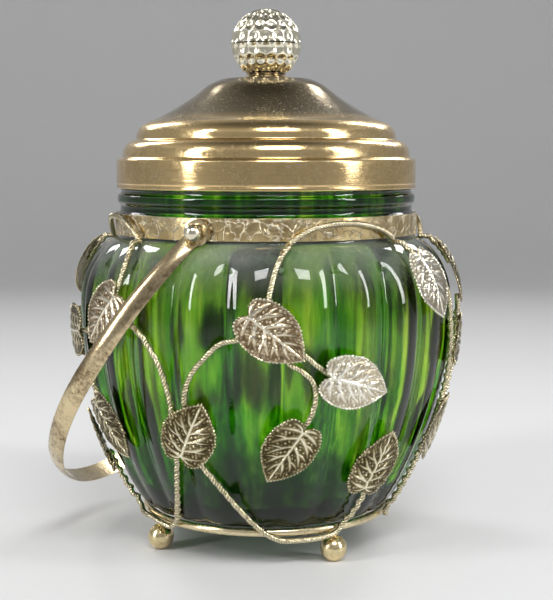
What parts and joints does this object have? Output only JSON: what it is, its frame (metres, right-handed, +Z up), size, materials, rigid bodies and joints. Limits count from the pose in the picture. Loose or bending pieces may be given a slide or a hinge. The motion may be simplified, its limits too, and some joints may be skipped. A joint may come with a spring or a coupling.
{
  "type": "biscuit jar",
  "caption": "Lobed green glass biscuit jar in a brass vine-and-leaf frame on ball feet, with a stepped lid, a dimpled ball knob and a swing-over bail handle.",
  "frame": {"origin": "centre of the jar's flat underside, on the jar's axis", "axes": "+Z up along the jar's axis, -Y towards the front as pictured, +X to the right"},
  "size_m": [0.1636, 0.1705, 0.2113],
  "materials": {
    "glass_jar": "clear over green glass",
    "neck_band": "aged brass, dark in the recesses",
    "pivot_rivet_front": "pale polished brass",
    "pivot_rivet_back": "pale polished brass",
    "pivot_washer_front": "aged brass, dark in the recesses",
    "pivot_washer_back": "aged brass, dark in the recesses",
    "base_ring": "aged brass, dark in the recesses",
    "foot_1": "polished brass",
    "foot_2": "polished brass",
    "foot_3": "polished brass",
    "foot_4": "polished brass",
    "lid_shell": "polished brass",
    "knob_collar": "polished brass",
    "knob_lower_half": "pale polished brass",
    "knob_upper_half": "pale polished brass",
    "knob_screw": "bright steel",
    "knob_washer": "bright steel",
    "handle": "polished brass",
    "vine_arch_1": "aged brass, dark in the recesses",
    "vine_arch_left_1": "aged brass, dark in the recesses",
    "vine_link_1": "aged brass, dark in the recesses",
    "vine_hook_1": "aged brass, dark in the recesses",
    "vine_sprig_1": "aged brass, dark in the recesses",
    "vine_sprig_left_1": "aged brass, dark in the recesses",
    "vine_drop_1": "aged brass, dark in the recesses",
    "vine_edge_stem_1": "aged brass, dark in the recesses",
    "vine_arch_2": "aged brass, dark in the recesses",
    "vine_arch_left_2": "aged brass, dark in the recesses",
    "vine_link_2": "aged brass, dark in the recesses",
    "vine_hook_2": "aged brass, dark in the recesses",
    "vine_sprig_2": "aged brass, dark in the recesses",
    "vine_sprig_left_2": "aged brass, dark in the recesses",
    "vine_drop_2": "aged brass, dark in the recesses",
    "vine_edge_stem_2": "aged brass, dark in the recesses",
    "leaf_crown_1": "aged brass, dark in the recesses",
    "leaf_arch_end_1": "aged brass, dark in the recesses",
    "leaf_bright_1": "aged brass, dark in the recesses",
    "leaf_hanging_1": "aged brass, dark in the recesses",
    "leaf_middle_1": "aged brass, dark in the recesses",
    "leaf_rising_1": "aged brass, dark in the recesses",
    "leaf_crown_left_1": "aged brass, dark in the recesses",
    "leaf_arch_end_left_1": "aged brass, dark in the recesses",
    "leaf_side_left_1": "aged brass, dark in the recesses",
    "leaf_hanging_left_1": "aged brass, dark in the recesses",
    "leaf_rising_left_1": "aged brass, dark in the recesses",
    "leaf_edge_lower_1": "aged brass, dark in the recesses",
    "leaf_edge_upper_1": "aged brass, dark in the recesses",
    "leaf_crown_2": "aged brass, dark in the recesses",
    "leaf_arch_end_2": "aged brass, dark in the recesses",
    "leaf_bright_2": "aged brass, dark in the recesses",
    "leaf_hanging_2": "aged brass, dark in the recesses",
    "leaf_middle_2": "aged brass, dark in the recesses",
    "leaf_rising_2": "aged brass, dark in the recesses",
    "leaf_crown_left_2": "aged brass, dark in the recesses",
    "leaf_arch_end_left_2": "aged brass, dark in the recesses",
    "leaf_side_left_2": "aged brass, dark in the recesses",
    "leaf_hanging_left_2": "aged brass, dark in the recesses",
    "leaf_rising_left_2": "aged brass, dark in the recesses",
    "leaf_edge_lower_2": "aged brass, dark in the recesses",
    "leaf_edge_upper_2": "aged brass, dark in the recesses"
  },
  "bodies": {
    "caddy": {"glass_jar": "glass_jar", "neck_band": "neck_band", "pivot_rivet_front": "pivot_rivet_front", "pivot_rivet_back": "pivot_rivet_back", "pivot_washer_front": "pivot_washer_front", "pivot_washer_back": "pivot_washer_back", "base_ring": "base_ring", "foot_1": "foot_1", "foot_2": "foot_2", "foot_3": "foot_3", "foot_4": "foot_4", "vine_arch_1": "vine_arch_1", "vine_arch_left_1": "vine_arch_left_1", "vine_link_1": "vine_link_1", "vine_hook_1": "vine_hook_1", "vine_sprig_1": "vine_sprig_1", "vine_sprig_left_1": "vine_sprig_left_1", "vine_drop_1": "vine_drop_1", "vine_edge_stem_1": "vine_edge_stem_1", "vine_arch_2": "vine_arch_2", "vine_arch_left_2": "vine_arch_left_2", "vine_link_2": "vine_link_2", "vine_hook_2": "vine_hook_2", "vine_sprig_2": "vine_sprig_2", "vine_sprig_left_2": "vine_sprig_left_2", "vine_drop_2": "vine_drop_2", "vine_edge_stem_2": "vine_edge_stem_2", "leaf_crown_1": "leaf_crown_1", "leaf_arch_end_1": "leaf_arch_end_1", "leaf_bright_1": "leaf_bright_1", "leaf_hanging_1": "leaf_hanging_1", "leaf_middle_1": "leaf_middle_1", "leaf_rising_1": "leaf_rising_1", "leaf_crown_left_1": "leaf_crown_left_1", "leaf_arch_end_left_1": "leaf_arch_end_left_1", "leaf_side_left_1": "leaf_side_left_1", "leaf_hanging_left_1": "leaf_hanging_left_1", "leaf_rising_left_1": "leaf_rising_left_1", "leaf_edge_lower_1": "leaf_edge_lower_1", "leaf_edge_upper_1": "leaf_edge_upper_1", "leaf_crown_2": "leaf_crown_2", "leaf_arch_end_2": "leaf_arch_end_2", "leaf_bright_2": "leaf_bright_2", "leaf_hanging_2": "leaf_hanging_2", "leaf_middle_2": "leaf_middle_2", "leaf_rising_2": "leaf_rising_2", "leaf_crown_left_2": "leaf_crown_left_2", "leaf_arch_end_left_2": "leaf_arch_end_left_2", "leaf_side_left_2": "leaf_side_left_2", "leaf_hanging_left_2": "leaf_hanging_left_2", "leaf_rising_left_2": "leaf_rising_left_2", "leaf_edge_lower_2": "leaf_edge_lower_2", "leaf_edge_upper_2": "leaf_edge_upper_2"},
    "lid": {"lid_shell": "lid_shell", "knob_collar": "knob_collar", "knob_lower_half": "knob_lower_half", "knob_upper_half": "knob_upper_half", "knob_screw": "knob_screw", "knob_washer": "knob_washer"},
    "bail": {"handle": "handle"}
  },
  "joints": [
    {"name": "lid_lift", "type": "slide", "parent": "caddy", "child": "lid", "axis": [0, 0, 1], "range_m": [0, 0.06]},
    {"name": "handle_swing", "type": "hinge", "parent": "caddy", "child": "bail", "pos_m": [0, 0, 0.11164], "axis": [0.3907, 0.9205, 0], "range_deg": [0, 289.4]}
  ]
}
